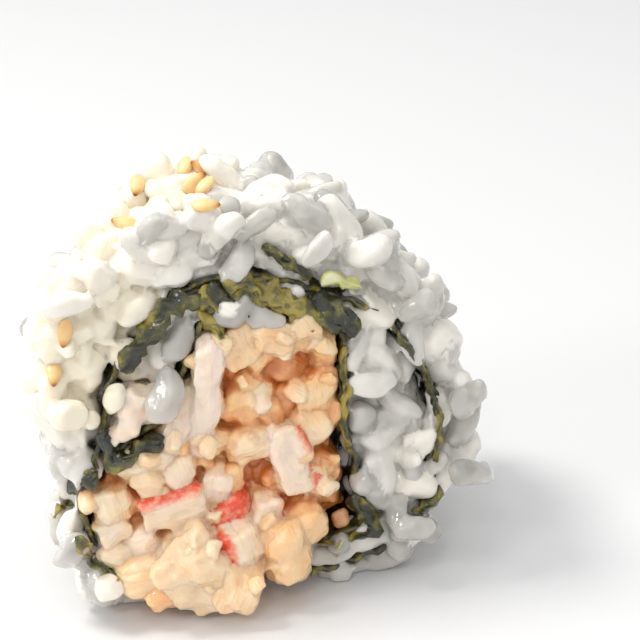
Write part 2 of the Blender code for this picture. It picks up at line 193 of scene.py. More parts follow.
def make_rice_material(name, clear, creamy):
    made, shader = new_material(name)
    place = add(made, "ShaderNodeTexCoord").outputs["Object"]
    tone = add(made, "ShaderNodeAttribute", {"attribute_name": "tone"}).outputs["Fac"]
    frost = add(made, "ShaderNodeAttribute", {"attribute_name": "frost"}).outputs["Fac"]
    cloudy = add(made, "ShaderNodeTexNoise", values={"Scale": per_mm(CLOUD_SIZE), "Detail": 2.0},
                 links={"Vector": place})
    mixed = add(made, "ShaderNodeMath", {"operation": "MULTIPLY_ADD", "use_clamp": True},
                values={1: 0.5}, links={0: cloudy.outputs["Fac"], 2: tone})
    ramp = add(made, "ShaderNodeValToRGB", links={"Fac": mixed.outputs["Value"]})
    set_stops(ramp, [
        (0.0, clear), (0.24, "#DFDCD5"), (0.44, "#EFEBE4"), (0.75, "#F3EDE2"), (1.0, creamy),
    ])
    wavy = add(made, "ShaderNodeTexNoise", values={"Scale": per_mm(WAVE_SIZE), "Detail": 2.0},
               links={"Vector": place})
    soft = add(made, "ShaderNodeBump", values={"Strength": 0.5, "Distance": WAVE_RELIEF * MM},
               links={"Height": wavy.outputs["Fac"]})
    grit = add(made, "ShaderNodeTexNoise", values={"Scale": per_mm(GRIT_SIZE), "Detail": 2.0},
               links={"Vector": place})
    amount = add(made, "ShaderNodeMath", {"operation": "ADD"}, values={1: 0.45}, links={0: frost})
    height = add(made, "ShaderNodeMath", {"operation": "MULTIPLY"},
                 links={0: grit.outputs["Fac"], 1: amount.outputs["Value"]})
    film = add(made, "ShaderNodeBump", values={"Strength": 1.0, "Distance": GRIT_RELIEF * MM},
               links={"Height": height.outputs["Value"], "Normal": soft.outputs["Normal"]})
    glassy = add(made, "ShaderNodeMath", {"operation": "MULTIPLY_ADD", "use_clamp": True},
                 values={1: -1.0, 2: 0.64}, links={0: mixed.outputs["Value"]})
    feed(made, shader, {
        "Base Color": ramp.outputs["Color"], "Normal": soft.outputs["Normal"],
        "Coat Normal": film.outputs["Normal"], "Transmission Weight": glassy.outputs["Value"],
    })
    set_values(shader, {
        "Roughness": 0.24, "IOR": 1.36, "Subsurface Weight": 1.0, "Subsurface Radius": (0.95, 0.95, 0.9),
        "Subsurface Scale": 0.7 * MM,
        "Coat Weight": 1.0, "Coat Roughness": 0.04, "Coat IOR": 1.5,
    })
    return made


rice_gel = make_rice_material("steamed_rice_gel", "#B4B5B1", "#F6EDDA")

# %% [markdown]
# ### Wet nori
# Nori is pressed red algae, roasted to a dark green. Soaked by the rice it turns limp and glassy:
# nearly black where folded, olive where a torn edge lets light through. The pattern mixes the two,
# with wrinkles about a millimetre apart, under a wet coat.

# %% Nori material


def make_nori_material():
    made, shader = new_material("wet_roasted_nori")
    place = add(made, "ShaderNodeTexCoord").outputs["Object"]
    thin = add(made, "ShaderNodeAttribute", {"attribute_name": "thin"}).outputs["Fac"]
    cloudy = add(made, "ShaderNodeTexNoise",
                 values={"Scale": per_mm(2.6), "Detail": 4.0, "Roughness": 0.65}, links={"Vector": place})
    spread = add(made, "ShaderNodeMath", {"operation": "MULTIPLY_ADD", "use_clamp": True},
                 values={1: 2.4, 2: -0.95}, links={0: cloudy.outputs["Fac"]})
    amount = add(made, "ShaderNodeMath", {"operation": "MULTIPLY_ADD", "use_clamp": True},
                 values={1: 0.75}, links={0: thin, 2: spread.outputs["Value"]})
    ramp = add(made, "ShaderNodeValToRGB", links={"Fac": amount.outputs["Value"]})
    set_stops(ramp, [(0.0, "#11150E"), (0.35, "#2E311A"), (0.65, "#5E5A22"), (1.0, "#A3913B")])
    wrinkle = add(made, "ShaderNodeTexNoise", values={"Scale": per_mm(0.8), "Detail": 3.0},
                  links={"Vector": place})
    bump = add(made, "ShaderNodeBump", values={"Strength": 0.8, "Distance": 0.35 * MM},
               links={"Height": wrinkle.outputs["Fac"]})
    feed(made, shader, {"Base Color": ramp.outputs["Color"], "Normal": bump.outputs["Normal"]})
    set_values(shader, {
        "Roughness": 0.42, "IOR": 1.45, "Subsurface Weight": 0.35, "Subsurface Radius": (1.0, 0.9, 0.25),
        "Subsurface Scale": 0.6 * MM, "Coat Weight": 1.0, "Coat Roughness": 0.08, "Coat IOR": 1.4,
    })
    return made


nori_skin = make_nori_material()

# %% [markdown]
# ### Dressed crab
# The filling is crab sticks, torn and chopped: white fish gel with fibres, and a painted red skin on
# one side. A dressing of mayonnaise and chilli coats it, cream on the lumps. The hollows get painted
# shade: the deeper a point lies behind a cut face, the darker orange-brown it is painted. Attributes carry
# each piece's tone, its red skin, how deep it lies and which way its fibres run.

# %% Crab materials


def make_crab_material():
    made, shader = new_material("surimi_in_chilli_mayonnaise")
    place = add(made, "ShaderNodeTexCoord").outputs["Object"]
    tags = {name: add(made, "ShaderNodeAttribute", {"attribute_name": name}).outputs["Fac"]
            for name in ("tone", "skin", "painted_shade", "across", "along")}
    cloudy = add(made, "ShaderNodeTexNoise", values={"Scale": per_mm(2.2), "Detail": 3.0},
                 links={"Vector": place})
    shifted = add(made, "ShaderNodeMath", {"operation": "MULTIPLY_ADD"},
                  values={1: 0.4}, links={0: cloudy.outputs["Fac"], 2: tags["tone"]})
    # Painted shade: the deeper a point lies, the further it moves to the ramp's dark orange-brown end
    sunk = add(made, "ShaderNodeMath", {"operation": "MULTIPLY_ADD", "use_clamp": True},
               values={1: 0.55}, links={0: tags["painted_shade"], 2: shifted.outputs["Value"]})
    body = add(made, "ShaderNodeValToRGB", links={"Fac": sunk.outputs["Value"]})
    set_stops(body, [(0.12, "#F8E2D4"), (0.42, "#FFE0C0"), (0.7, "#FDC992"), (1.0, "#CF7C38")])
    patchy = add(made, "ShaderNodeTexNoise", values={"Scale": per_mm(0.9), "Detail": 3.0},
                 links={"Vector": place})
    worn = add(made, "ShaderNodeMath", {"operation": "MULTIPLY_ADD", "use_clamp": True},
               values={1: 1.5, 2: -0.65}, links={0: patchy.outputs["Fac"]})
    amount = add(made, "ShaderNodeMath", {"operation": "SUBTRACT", "use_clamp": True},
                 links={0: tags["skin"], 1: worn.outputs["Value"]})
    red = add(made, "ShaderNodeValToRGB", links={"Fac": amount.outputs["Value"]})
    set_stops(red, [(0.0, "#F8BEA4"), (0.4, "#F08258"), (1.0, "#E8502A")])
    colour = add(made, "ShaderNodeMix", {"data_type": "RGBA"})
    mixed = ((0, amount.outputs["Value"]), (6, body.outputs["Color"]), (7, red.outputs["Color"]))
    for socket, source in mixed:
        made.node_tree.links.new(source, colour.inputs[socket])
    strands = add(made, "ShaderNodeCombineXYZ", links={"X": tags["across"], "Y": tags["along"]})
    drawn = add(made, "ShaderNodeMapping", values={"Scale": (2.2, 0.3, 1.0)},
                links={"Vector": strands.outputs[0]})
    thread = add(made, "ShaderNodeTexNoise", values={"Scale": 1.0, "Detail": 3.0},
                 links={"Vector": drawn.outputs["Vector"]})
    lumps = add(made, "ShaderNodeTexNoise", values={"Scale": per_mm(0.7), "Detail": 3.0},
                links={"Vector": place})
    fine = add(made, "ShaderNodeBump", values={"Strength": 0.7, "Distance": 0.35 * MM},
               links={"Height": thread.outputs["Fac"]})
    bump = add(made, "ShaderNodeBump", values={"Strength": 0.6, "Distance": 0.3 * MM},
               links={"Height": lumps.outputs["Fac"], "Normal": fine.outputs["Normal"]})
    feed(made, shader, {"Base Color": colour.outputs[2], "Normal": fine.outputs["Normal"],
                        "Coat Normal": bump.outputs["Normal"]})
    set_values(shader, {
        "Roughness": 0.32, "IOR": 1.42, "Subsurface Weight": 1.0, "Subsurface Radius": (1.0, 0.62, 0.36),
        "Subsurface Scale": 0.9 * MM, "Coat Weight": 1.0, "Coat Roughness": 0.07, "Coat IOR": 1.5,
    })
    return made


crab_meat = make_crab_material()

# %% [markdown]
# ## The slice's layout
# These few lines are the same as the part's own: the lean of the two faces, the nori's line on the cut
# face, and how the soft roll narrows and sinks towards its back. Pieces that follow the layers use them.

# %% Layout, in millimetres
FACE_FOOT, FACE_LEAN = -15.0, 0.14
BACK_FOOT, BACK_LEAN = 10.5, -0.05
BACK_NARROWER, BACK_LOWER, BACK_ASIDE = 0.05, 0.07, 1.8
NORI_LINE = [
    (-16.4, 19.4), (-12.0, 21.8), (-9.2, 23.9), (-8.0, 28.0), (-5.8, 32.8), (-2.4, 34.9), (1.6, 34.9),
    (6.0, 33.4), (9.8, 31.0), (9.8, 26.0), (9.6, 20.0), (11.0, 15.0), (10.8, 11.2), (12.2, 8.0),
    (9.6, 6.2), (2.0, 5.2), (-4.0, 3.4), (-11.0, 2.6), (-16.4, 5.2), (-19.2, 9.8), (-19.8, 14.0),
    (-18.2, 18.4), (-16.9, 23.4), (-15.6, 28.4), (-12.2, 32.2), (-8.4, 36.2), (-3.6, 38.1), (2.4, 37.4),
    (8.6, 34.9), (14.6, 31.6), (18.2, 26.6), (20.8, 20.4), (20.2, 14.2), (19.8, 9.0), (16.6, 4.6),
    (11.0, 2.6), (5.0, 2.1), (0.4, 2.2),
]


def face_y(z):
    return FACE_FOOT + FACE_LEAN * z


def back_y(z):
    return BACK_FOOT + BACK_LEAN * z


def slump(bm):
    """Narrows, lowers and leans points towards the slice's back, as the part does."""
    for v in bm.verts:
        depth = (v.co.y - face_y(v.co.z)) / (back_y(v.co.z) - face_y(v.co.z))
        v.co.x = v.co.x * (1 - BACK_NARROWER * depth) + BACK_ASIDE * depth
        v.co.z *= 1 - BACK_LOWER * depth


def smooth_line(points, step):
    """Points about a step apart on a Catmull-Rom curve through the given ones."""
    knots = [Vector(p) for p in points]
    last = len(knots) - 1
    line = []
    for i in range(last):
        a, b, c, d = (knots[min(max(i + k, 0), last)] for k in (-1, 0, 1, 2))
        pieces = max(1, round((c - b).length / step))
        for t in (k / pieces for k in range(pieces)):
            line.append(0.5 * (2 * b + (c - a) * t + (2 * a - 5 * b + 4 * c - d) * t**2
                               + (3 * b - a - 3 * c + d) * t**3))
    return line + [knots[-1]]


# %% [markdown]
# ## Surfaces to build on
# Rays from the camera, and random draws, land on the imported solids. A solid's mesh is loose
# triangles, so a copy is merged and scaled to millimetres first.

# %% Surfaces of the solids
# How far pieces stay off the floor, and how near a wall is to count as beside another solid
FLOOR_CLEAR = 0.04
BESIDE = 0.8


def solid_copy(*names):
    """The named solids as one bmesh in millimetres."""
    bm = bmesh.new()
    for name in names:
        bm.from_mesh(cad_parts[name].data)
    bm.transform(Matrix.Scale(1 / MM, 4))
    bmesh.ops.remove_doubles(bm, verts=bm.verts[:], dist=0.003)
    bm.normal_update()
    return bm


rice_solid = solid_copy("rice")
other_surface = BVHTree.FromBMesh(solid_copy("nori", "crab_filling", "crab_pocket"))
whole_surface = BVHTree.FromBMesh(solid_copy(*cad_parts))


def seen_at(px, py, surface=whole_surface):
    """Where the line of sight through a pixel meets a surface, or passes nearest to it, and its way out."""
    hit, out, _, _ = surface.ray_cast(EYE / MM, sight(px, py))
    if hit is None:
        beside = (EYE + sight(px, py) * (AIM - EYE).length) / MM
        hit, out, _, _ = surface.find_nearest(beside)
    return hit, out


def piece(name, bm, material, smooth=True):
    """A finished object, in metres, at the origin, from a bmesh in millimetres."""
    bm.transform(Matrix.Scale(MM, 4))
    mesh = bpy.data.meshes.new(name)
    bm.to_mesh(mesh)
    bm.free()
    made = bpy.data.objects.new(name, mesh)
    scene.collection.objects.link(made)
    mesh.materials.append(material)
    for face in mesh.polygons:
        face.use_smooth = smooth
    return made


def applied(made):
    """The object with its modifiers turned into mesh."""
    graph = bpy.context.evaluated_depsgraph_get()
    graph.update()
    mesh = bpy.data.meshes.new_from_object(made.evaluated_get(graph))
    made.modifiers.clear()
    made.data = mesh
    return made


ROUNDED = ("SUBSURF", {"levels": 1, "render_levels": 1})


def add_steps(made, steps):
    """Modifiers in order, each a kind and its settings."""
    for kind, values in steps:
        step = made.modifiers.new(kind.lower(), kind)
        for name, value in values.items():
            setattr(step, name, value)


def fused(name, bm, material, voxel, smooth, triangles):
    """One soft skin over shapes that overlap: rounded, remeshed, smoothed, and thinned where it is flat."""
    made = piece(name, bm, material)
    add_steps(made, [
        ROUNDED,
        ("REMESH", {"mode": "VOXEL", "voxel_size": voxel * MM, "use_smooth_shade": True}),
        ("SMOOTH", {"factor": 0.5, "iterations": smooth}),
    ])
    applied(made)
    full = 2 * len(made.data.polygons)
    add_steps(made, [("DECIMATE", {"ratio": min(1.0, triangles / full)})])
    applied(made)
    made.data.materials.clear()
    made.data.materials.append(material)
    for face in made.data.polygons:
        face.use_smooth = True
    made.data.calc_loop_triangles()
    print(name, "remeshed to", full, "triangles, kept", len(made.data.loop_triangles))
    return made


def carry_tags(made, source, names):
    """Gives each point of a skin the tags of the shapes' nearest face, by how near its corners are."""
    tree = BVHTree.FromBMesh(source)
    source.faces.ensure_lookup_table()
    layers = [source.verts.layers.float[name] for name in names]
    found = [[] for _ in names]
    for v in made.data.vertices:
        place = v.co / MM
        corners = source.faces[tree.find_nearest(place)[2]].verts
        shares = [1 / ((w.co - place).length_squared + 0.01) for w in corners]
        whole_share = sum(shares)
        for values, layer in zip(found, layers):
            values.append(sum(w[layer] * share for w, share in zip(corners, shares)) / whole_share)
    for name, values in zip(names, found):
        made.data.attributes.new(name, "FLOAT", "POINT").data.foreach_set("value", values)


def roughen(made, layers):
    """Moves a skin's points in and out by noise, but not into the floor: a size and a height a layer."""
    points = made.data.vertices
    moves = [sum(height * noise.noise(v.co / (size * MM)) for size, height in layers) for v in points]
    ways = [v.normal.copy() for v in points]
    for v, way, move in zip(points, ways, moves):
        v.co += way * move * MM
        v.co.z = max(v.co.z, FLOOR_CLEAR * MM)


def shrunk(bm, most, share, beside=None):
    """A solid with its walls set in by at most a share of its thickness, and not at all beside others."""
    bm.normal_update()
    tree = BVHTree.FromBMesh(bm)
    moves = []
    for v in bm.verts:
        through = tree.ray_cast(v.co - v.normal * 0.05, -v.normal)[3]
        held = beside is not None and beside.find_nearest(v.co)[3] < BESIDE
        moves.append(0 if held else min(most, share * (through or 0)))
    for v, move in zip(bm.verts, moves):
        v.co -= v.normal * move
    return bm


# %% [markdown]
# ## Rice grains
# A cooked grain is a blunt, slightly bent spindle about 7 mm long and half as wide, and no two are
# alike. Each one starts as a coarse sphere. Its ends are made blunt, one end narrower, its body
# uneven, squarish and bent. Grains that the picture shows clearly are placed where the line of sight
# meets the rice. The rest fill the surface in two layers, turned so that they don't cross the nori.

# %% One grain
GRAIN = (6.6, 3.4)
GRAIN_SIDES, GRAIN_RINGS = 9, 8


def tagged(names):
    """An empty bmesh whose points will carry these tags."""
    bm = bmesh.new()
    for name in names:
        bm.verts.layers.float.new(name)
    return bm


def start_mesh(name, tags, build):
    """A mesh that many pieces start from, with their tags' layers on its points."""
    bm = tagged(tags)
    build(bm)
    mesh = bpy.data.meshes.new(name)
    bm.to_mesh(mesh)
    bm.free()
    return mesh


def ball(bm):
    bmesh.ops.create_uvsphere(bm, u_segments=GRAIN_SIDES, v_segments=GRAIN_RINGS, radius=1)


GRAIN_TAGS = ("tone", "frost")
GRAIN_START = start_mesh("grain_start", GRAIN_TAGS, ball)


def copy_of(bm, mesh):
    """The points of one more copy of a start mesh."""
    before = len(bm.verts)
    bm.from_mesh(mesh)
    bm.verts.ensure_lookup_table()
    return bm.verts[before:]


def turned(out, along):
    """A rotation whose z lies along a way and whose y points out."""
    along = (along - out * along.dot(out)).normalized()
    return Matrix((out.cross(along), out, along)).transposed()


def add_grain(bm, rng, centre, out, along, size, curl=0.0):
    """One grain: blunt ends, one end narrower, uneven and bent, and pressed flat on the floor."""
    made = copy_of(bm, GRAIN_START)
    length, width = size
    thick = width * rng.uniform(0.66, 0.95)
    bend = (curl or rng.uniform(-0.1, 0.1)) * length
    narrow = rng.uniform(0.0, 0.3)
    notch = rng.uniform(0.0, 0.16)
    shift = Vector((rng.uniform(0, 90), rng.uniform(0, 90), 0))
    turn = turned(out.normalized(), along)
    for v in made:
        t = v.co.z
        ring = math.hypot(v.co.x, v.co.y)
        blunt = (1 - abs(t) ** 3) ** 0.5 / ring if ring > 1e-6 else 1.0
        square = 1 + 0.16 * math.cos(4 * math.atan2(v.co.y, v.co.x) + shift.x)
        lump = square + 0.48 * noise.noise(v.co * 1.4 + shift) - narrow * t * 0.5
        lump -= notch * math.exp(-((t - 0.45) / 0.2) ** 2) * max(0.0, v.co.x)
        x = v.co.x * blunt * width / 2 * lump + bend * (t * t - 0.35)
        y = v.co.y * blunt * thick / 2 * lump
        v.co = centre + turn @ Vector((x, y, t * length / 2))
        v.co.z = max(v.co.z, FLOOR_CLEAR)
    return made


def tag(bm, verts, values):
    """Gives points the same tags."""
    for name, value in values.items():
        layer = bm.verts.layers.float[name]
        for v in verts:
            v[layer] = value


# Where the slice is slimmer than its solid: a place, how far it reaches and the most it sets grains in
SLIM_SPOTS = [
    ((-23, -9, 20), 13, 2.6), ((-22, 4, 19), 13, 2.6), ((4, -5, 46), 9, 3.0), ((7, 4, 44), 9, 2.6),
    ((20, -8, 36), 9, 1.6), ((-20, -11, 3), 8, 2.4),
]
# The line along which the rice is mashed and creamy, its reach, and how softly that ends
MASHED_LINE = (Vector((-6.5, 3.0, 43.5)), Vector((-19.5, -9.0, 29.0)))
MASHED_REACH, MASHED_FADE = 9.5, 5


def set_in(place):
    """How many millimetres deeper than elsewhere grains lie at a place."""
    depths = [most * (1 - (place - Vector(spot)).length / reach) for spot, reach, most in SLIM_SPOTS]
    return max(0.0, *depths)


def creamy(place):
    """How mashed and creamy the rice is at a place, from 0 to 1: the mound and the coat's upper left."""
    start, end = MASHED_LINE
    t = min(max((place - start).dot(end - start) / (end - start).length_squared, 0), 1)
    away = (place - start.lerp(end, t)).length
    return min(max((MASHED_REACH - away) / MASHED_FADE, 0), 1)


print("faces of a grain at its start:", len(GRAIN_START.polygons))

# %% Grains that the picture shows
# Each row: the pixel, the length and width in millimetres, the turn in the picture, frost from 0 to 1
SHOWN_GRAINS = [
    (121, 258, 6.6, 4.8, 62, 0.0), (140, 309, 5.2, 3.1, 38, 1.0), (126, 356, 4.0, 3.4, 60, 0.1),
    (170, 274, 4.9, 3.6, 10, 0.8), (204, 270, 4.6, 4.0, 80, 0.0), (195, 240, 7.2, 4.2, 38, 0.3),
    (238, 262, 5.9, 3.3, 66, 1.0), (284, 271, 8.2, 3.3, -46, 0.5), (279, 230, 6.0, 3.5, -8, 0.3),
    (302, 257, 4.0, 3.5, -20, 0.3), (336, 246, 7.4, 4.3, 80, 0.3), (374, 234, 5.4, 3.4, -62, 0.9),
    (402, 235, 5.4, 3.3, 86, 0.1), (372, 268, 4.6, 3.7, 20, 0.1), (400, 275, 5.8, 3.3, -60, 0.0),
    (368, 313, 7.4, 4.0, -20, 0.2), (388, 298, 5.2, 3.0, -50, 0.1), (414, 306, 4.9, 2.9, 82, 0.2),
    (444, 340, 5.8, 5.0, 10, 0.9), (446, 374, 4.4, 3.8, -30, 0.3), (416, 342, 5.8, 3.1, -80, 0.1),
    (359, 348, 5.6, 3.1, 62, 0.0), (378, 352, 5.4, 2.8, 86, 0.0), (402, 366, 4.4, 3.8, 30, 0.5),
    (374, 388, 5.8, 3.4, 8, 0.1), (303, 190, 5.8, 3.5, -12, 0.1), (254, 203, 7.2, 3.0, 10, 0.0),
    (342, 206, 4.6, 3.5, -50, 0.1), (67, 274, 4.6, 4.0, 60, 0.8), (47, 318, 7.2, 4.4, 72, 0.3),
    (78, 366, 5.8, 4.2, 20, 1.0), (67, 404, 5.0, 3.8, 70, 0.3), (98, 413, 4.6, 3.4, 60, 0.4),
    (80, 436, 4.6, 3.4, 30, 0.3), (83, 463, 4.4, 4.0, 80, 0.0), (72, 532, 4.6, 3.0, 75, 0.2),
    (384, 455, 6.0, 3.8, 40, 0.4), (422, 443, 4.6, 3.2, 30, 0.2), (408, 488, 7.0, 3.8, -4, 0.2),
    (468, 450, 5.2, 3.4, 70, 0.2), (388, 420, 6.0, 3.4, 5, 0.3), (440, 410, 5.0, 3.2, -70, 0.2),
    (445, 480, 5.2, 3.2, 60, 0.2), (372, 540, 6.8, 3.4, 6, 0.0), (330, 552, 6.4, 3.2, 14, 0.0),
    (405, 535, 5.4, 3.2, 35, 0.1),
]
# Bent grains in the nori's folds: the pixel, size, turn, curl and how far they stand in front
CURLED_GRAINS = [
    (234, 311, 5.0, 2.9, 38, 0.16, 1.6), (263, 317, 5.2, 2.9, -24, 0.18, 1.6),
    (332, 316, 3.0, 2.6, 20, 0.0, 1.2), (178, 338, 6.0, 3.5, 66, 0.08, 0.2),
    (165, 396, 6.6, 4.0, 74, 0.06, -0.3),
]
# How deep a shown grain lies, in its widths, and the share of the slim spots' depth that it takes
GRAIN_SUNK, SHOWN_SET_IN = 0.36, 0.6
CLEAR_GRAIN = {"tone": 0.02, "frost": 0.6}


def picture_way(degrees):
    """The way in space that lies at this turn in the picture."""
    a = math.radians(degrees)
    return RIGHT * math.cos(a) + UP * math.sin(a)


rng = random.Random(21)
grains = tagged(GRAIN_TAGS)
taken = []
for px, py, length, width, degrees, frost in SHOWN_GRAINS:
    hit, out = seen_at(px, py)
    facing = (out + Vector((0, -1, 0.3)) - sight(px, py)).normalized()
    centre = hit - facing * (width * GRAIN_SUNK + SHOWN_SET_IN * set_in(hit))
    verts = add_grain(grains, rng, centre, facing, picture_way(degrees), (length, width))
    tag(grains, verts, {"tone": max(creamy(centre) * 0.8, rng.uniform(0.1, 0.5)), "frost": frost})
    taken.append(centre)
for px, py, length, width, degrees, curl, proud in CURLED_GRAINS:
    hit, _ = seen_at(px, py)
    centre = hit - sight(px, py) * proud
    verts = add_grain(grains, rng, centre, -sight(px, py), picture_way(degrees), (length, width), curl)
    tag(grains, verts, CLEAR_GRAIN)
print(len(taken) + len(CURLED_GRAINS), "grains placed by sight")

# %% Grains that fill the rest
# Each layer: the spacing, how far its grains are sunk in widths, and the draws
LAYERS = [(2.45, 0.5, 15000), (2.3, 0.95, 13000)]
CLEAR_OF_NORI = 1.5
SHORTEST = 2.9
TURN_TRIES, SHORTER = 8, 0.9
# Right of this x the grains are clearer, by this much tone: more light passes through them, and their
# greyer colour is painted shade for the side away from the window
CLEARER_SHADED_RIGHT, CLEARER_SHADED_BY = 6.0, 0.2
FROSTS = (0, 0, 0.3, 0.6, 1.0)
CUT_FACE, CUT_BACK = -0.45, 0.45
OVERHANG = 3.0


def coarse_out(place, out):
    """The slice's own way out near a place, without its bumps."""
    if out.y < CUT_FACE:
        return Vector((0, -1, FACE_LEAN)).normalized()
    if out.y > CUT_BACK:
        return Vector((0, 1, -BACK_LEAN)).normalized()
    return Vector((place.x / 24, 0, (place.z - 22) / 24)).normalized()


def fits(centre, along, length):
    """Whether a grain lying this way stays out of the nori and the crab."""
    for share in (-0.4, 0, 0.4):
        if other_surface.find_nearest(centre + along * length * share)[3] < CLEAR_OF_NORI:
            return False
    return True


def area_draws(bm, rng, count):
    """Random places spread evenly over a mesh: each with its face's way out."""
    faces = [f for f in bm.faces if f.calc_center_median().z > 0.6]
    areas = [f.calc_area() for f in faces]
    for face in rng.choices(faces, areas, k=count):
        a, b, c = (v.co for v in face.verts[:3])
        s, t = sorted((rng.random(), rng.random()))
        yield a * s + b * (t - s) + c * (1 - t), face.normal.copy()


def lay_grain(place, out, lean, sunk):
    """Tries turns for a grain at a place, shorter each time, and adds the first that fits."""
    facing = (out + lean * 1.2).normalized()
    length, width = GRAIN[0] * rng.uniform(0.7, 1.1), GRAIN[1] * rng.uniform(0.82, 1.12)
    centre = place - facing * (width * sunk + set_in(place))
    side = facing.orthogonal().normalized()
    for _ in range(TURN_TRIES):
        along = Matrix.Rotation(rng.uniform(0, math.pi), 3, facing) @ side
        along = (along + facing * rng.gauss(0, 0.24)).normalized()
        if fits(centre, along, length):
            break
        length *= SHORTER
    if length < SHORTEST:
        return False
    mashed = creamy(centre)
    verts = add_grain(grains, rng, centre - facing * 0.6 * mashed, facing, along, (length, width))
    # Grains on the right get a lower tone: more transmission, and a greyer colour that is painted shade
    clearer_and_shaded = CLEARER_SHADED_BY if place.x > CLEARER_SHADED_RIGHT else 0.0
    tone = max(mashed, rng.uniform(-0.15, 0.5) - clearer_and_shaded)
    tag(grains, verts, {"tone": tone, "frost": rng.choice(FROSTS)})
    return True


# The outer layer keeps clear of the grains placed by sight, and the inner one may lie under them
scattered = 0
for spacing, sunk, draws in LAYERS:
    near = list(taken)
    for place, out in area_draws(rice_solid, rng, draws):
        lean = coarse_out(place, out)
        if out.dot(lean) < 0.3 or any((place - other).length < spacing for other in near):
            continue
        if other_surface.ray_cast(place + out * 0.3, out, OVERHANG)[0] is not None:
            continue
        if lay_grain(place, out, lean, sunk):
            near.append(place)
            scattered += 1
    taken = []
print(scattered, "grains scattered")

# %% [markdown]
# ## One sticky mass
# Starch glues pressed sushi rice into one mass, and light wanders from grain to grain through it. So
# the grains aren't left as separate meshes: they and a core, which is the rice solid set in, are joined
# by a voxel remesh fine enough to keep the creases between them. A light smoothing gives the gluey
# joints, a decimation spends the triangles on creases instead of on flat walls, and a little relief
# makes each grain's surface uneven.

# %% Rice mass
RICE_VOXEL = 0.24
MOST_TRIANGLES = 196000


def join(bm, shapes):
    """Adds one bmesh's shapes to another."""
    loose = bpy.data.meshes.new("loose")
    shapes.to_mesh(loose)
    bm.from_mesh(loose)


mass = shrunk(rice_solid.copy(), 3.0, 0.5, other_surface)
join(mass, grains)
rice = fused("rice_grains", mass, rice_gel, RICE_VOXEL, 1, MOST_TRIANGLES)
carry_tags(rice, grains, GRAIN_TAGS)
roughen(rice, [(1.6, 0.2), (0.8, 0.1)])
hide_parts("rice")
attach(rice, "root")

# %% [markdown]
# ## Nori sheet
# The sheet is one strip that winds twice through the slice. A grid gives it its faces, the layout's
# line and depth give them their places, and noise wrinkles it and tears its two cut edges. Solidify
# gives the wall its thickness.

# %% Nori sheet
NORI_TAGS = ("thin",)
NORI_THICK = 0.55
NORI_STEP = 0.45
NORI_ROWS = 30
# One over the share of the depth that each torn edge takes
TORN_EDGE = 9


def line_place(line, share):
    """A point along a line and the way to its left."""
    at = share * (len(line) - 1)
    i = min(int(at), len(line) - 2)
    along = (line[i + 1] - line[i]).normalized()
    return line[i].lerp(line[i + 1], at - i), Vector((-along.y, along.x))


line = smooth_line(NORI_LINE, NORI_STEP)
nori_bm = tagged(NORI_TAGS)
bmesh.ops.create_grid(nori_bm, x_segments=len(line) - 1, y_segments=NORI_ROWS, size=1)
thin_layer = nori_bm.verts.layers.float["thin"]
for v in nori_bm.verts:
    u, w = (v.co.x + 1) / 2, (v.co.y + 1) / 2
    at, left = line_place(line, u)
    edge = max(0.0, 1 - min(w, 1 - w) * TORN_EDGE)
    far = noise.noise(Vector((at.x * 0.45, at.y * 0.45, 3.0 if w < 0.5 else 40.0)))
    fine = noise.noise(Vector((at.x * 1.7, at.y * 1.7, 9.0 if w < 0.5 else 70.0)))
    ragged = edge * (0.55 + 0.9 * far + 0.5 * fine)
    y = face_y(at.y) + (back_y(at.y) - face_y(at.y)) * w + ragged * (1 if w < 0.5 else -1)
    wrinkle = noise.noise(Vector((at.x * 0.8, y * 0.5, at.y * 0.8))) * (0.25 + 0.45 * edge)
    at = at + left * wrinkle
    v[thin_layer] = edge * (0.45 + 0.8 * fine)
    v.co = Vector((at.x, y, at.y))
slump(nori_bm)
nori = piece("nori_sheet", nori_bm, nori_skin)
add_steps(nori, [("SOLIDIFY", {"thickness": NORI_THICK * MM, "offset": 0.0})])
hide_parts("nori")
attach(nori, "root")
print("nori faces:", len(nori.data.polygons))

# %% [markdown]
# ## Crab chunks
# Torn crab stick breaks into blocks with rounded corners and fibres along their length. Each chunk
# starts as a cube, cut into a fine grid, drawn towards a ball to round it, and made uneven by noise
# at three sizes. The table gives each chunk of the picture its place, size and turn.

